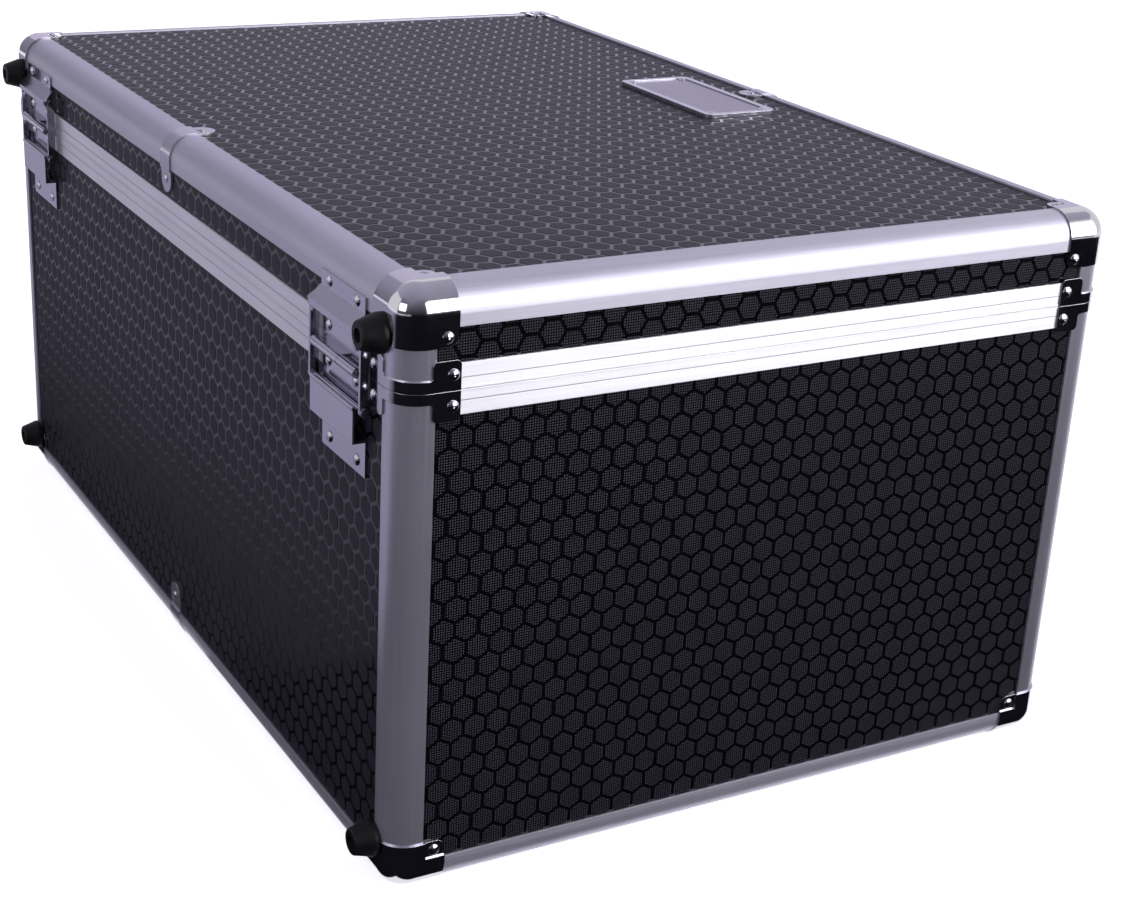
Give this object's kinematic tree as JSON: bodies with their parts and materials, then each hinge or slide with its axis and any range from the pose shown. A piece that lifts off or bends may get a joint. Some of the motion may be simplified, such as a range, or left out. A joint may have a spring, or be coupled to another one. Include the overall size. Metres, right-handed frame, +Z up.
{
  "type": "utility flight case",
  "caption": "Hard-sided transport case with honeycomb laminate panels, rounded aluminium edges, pressed steel corners, a hinged lid with stay links, draw latches and a carrying handle.",
  "frame": {"origin": "middle of the case's footprint, at the level of the bottom corner caps that it rests on", "axes": "+X along the long side, +Y from the front with its handle to the back with its hinges, +Z up"},
  "size_m": [0.8062, 0.562, 0.4015],
  "materials": {
    "honeycomb_laminate": "black panels with a raised honeycomb line pattern and a woven dot texture in the cells",
    "edge_aluminium": "satin anodised extrusion, faintly brushed lengthwise",
    "rim_aluminium": "brushed lengthwise, with a bright lip at the parting",
    "chrome_corners": "mirror chrome plate on pressed steel",
    "strap_steel": "bright plated steel",
    "hinge_steel": "bright nickel-plated pressed sheet",
    "rivet_steel": "polished domed heads",
    "plate_aluminium": "silver border round a grey field, bare",
    "foot_rubber": "black moulded rubber",
    "grip_rubber": "black soft grip",
    "lining_fabric": "charcoal needle felt over thin foam"
  },
  "bodies": {
    "base": {"base_corner_brackets": "chrome_corners", "base_feet": "foot_rubber", "base_lining": "lining_fabric", "base_panel_back": "honeycomb_laminate", "base_panel_front": "honeycomb_laminate", "base_panel_left": "honeycomb_laminate", "base_panel_right": "honeycomb_laminate", "base_posts": "edge_aluminium", "base_rims": "rim_aluminium", "base_rivets": "rivet_steel", "bottom_cap_back_left": "chrome_corners", "bottom_cap_back_right": "chrome_corners", "bottom_cap_front_left": "chrome_corners", "bottom_cap_front_right": "chrome_corners", "bottom_edge_back": "edge_aluminium", "bottom_edge_front": "edge_aluminium", "bottom_edge_left": "edge_aluminium", "bottom_edge_right": "edge_aluminium", "bottom_panel": "honeycomb_laminate", "bottom_straps": "strap_steel", "handle_brackets": "hinge_steel", "hinge_base_leaves": "hinge_steel", "hinge_guides": "hinge_steel", "hinge_pins": "hinge_steel", "latch_plates": "hinge_steel"},
    "lid": {"ball_corner_back_left": "chrome_corners", "ball_corner_back_right": "chrome_corners", "ball_corner_front_left": "chrome_corners", "ball_corner_front_right": "chrome_corners", "hinge_hoods": "hinge_steel", "hinge_lid_leaves": "hinge_steel", "latch_keepers": "hinge_steel", "lid_corner_brackets": "chrome_corners", "lid_feet": "foot_rubber", "lid_lining": "lining_fabric", "lid_panel": "honeycomb_laminate", "lid_panel_back": "honeycomb_laminate", "lid_panel_front": "honeycomb_laminate", "lid_panel_left": "honeycomb_laminate", "lid_panel_right": "honeycomb_laminate", "lid_posts": "edge_aluminium", "lid_rims": "rim_aluminium", "lid_rivets": "rivet_steel", "nameplate": "plate_aluminium", "top_edge_back": "edge_aluminium", "top_edge_front": "edge_aluminium", "top_edge_left": "edge_aluminium", "top_edge_right": "edge_aluminium", "top_straps": "strap_steel"},
    "left_stay_pin": {"left_stay_pin": "hinge_steel"},
    "left_stay_links": {"left_stay_links": "hinge_steel"},
    "left_latch_lever": {"left_latch_lever": "hinge_steel"},
    "left_latch_bail": {"left_latch_bail": "hinge_steel"},
    "right_stay_pin": {"right_stay_pin": "hinge_steel"},
    "right_stay_links": {"right_stay_links": "hinge_steel"},
    "right_latch_lever": {"right_latch_lever": "hinge_steel"},
    "right_latch_bail": {"right_latch_bail": "hinge_steel"},
    "handle": {"handle_bail": "hinge_steel", "handle_grip": "grip_rubber"}
  },
  "joints": [
    {"name": "lid_hinge", "type": "hinge", "parent": "base", "child": "lid", "pos_m": [0, 0.2705, 0.3362], "axis": [-1, 0, 0], "range_deg": [0, 95]},
    {"name": "left_stay_pin_slide", "type": "slide", "parent": "base", "child": "left_stay_pin", "axis": [0, 0, -1], "range_m": [0, 0.0166]},
    {"name": "left_stay_link_pivot", "type": "hinge", "parent": "left_stay_pin", "child": "left_stay_links", "pos_m": [-0.3215, 0.2688, 0.3132], "axis": [-1, 0, 0], "range_deg": [0, 34]},
    {"name": "right_stay_pin_slide", "type": "slide", "parent": "base", "child": "right_stay_pin", "axis": [0, 0, -1], "range_m": [0, 0.0166]},
    {"name": "right_stay_link_pivot", "type": "hinge", "parent": "right_stay_pin", "child": "right_stay_links", "pos_m": [0.3215, 0.2688, 0.3132], "axis": [-1, 0, 0], "range_deg": [0, 34]},
    {"name": "left_latch_lever_pivot", "type": "hinge", "parent": "base", "child": "left_latch_lever", "pos_m": [-0.23, -0.2715, 0.3122], "axis": [-1, 0, 0], "range_deg": [0, 110]},
    {"name": "left_latch_bail_pivot", "type": "hinge", "parent": "left_latch_lever", "child": "left_latch_bail", "pos_m": [-0.23, -0.276, 0.3002], "axis": [-1, 0, 0], "range_deg": [0, 70]},
    {"name": "right_latch_lever_pivot", "type": "hinge", "parent": "base", "child": "right_latch_lever", "pos_m": [0.23, -0.2715, 0.3122], "axis": [-1, 0, 0], "range_deg": [0, 110]},
    {"name": "right_latch_bail_pivot", "type": "hinge", "parent": "right_latch_lever", "child": "right_latch_bail", "pos_m": [0.23, -0.276, 0.3002], "axis": [-1, 0, 0], "range_deg": [0, 70]},
    {"name": "handle_pivot", "type": "hinge", "parent": "base", "child": "handle", "pos_m": [0, -0.2735, 0.24], "axis": [-1, 0, 0], "range_deg": [0, 100]}
  ],
  "couplings": [
    {"joint": "left_stay_pin_slide", "follows": "lid_hinge", "m_per_rad": 0.0098894},
    {"joint": "left_stay_link_pivot", "follows": "lid_hinge", "ratio": 0.35404},
    {"joint": "right_stay_pin_slide", "follows": "lid_hinge", "m_per_rad": 0.0098894},
    {"joint": "right_stay_link_pivot", "follows": "lid_hinge", "ratio": 0.35404}
  ]
}
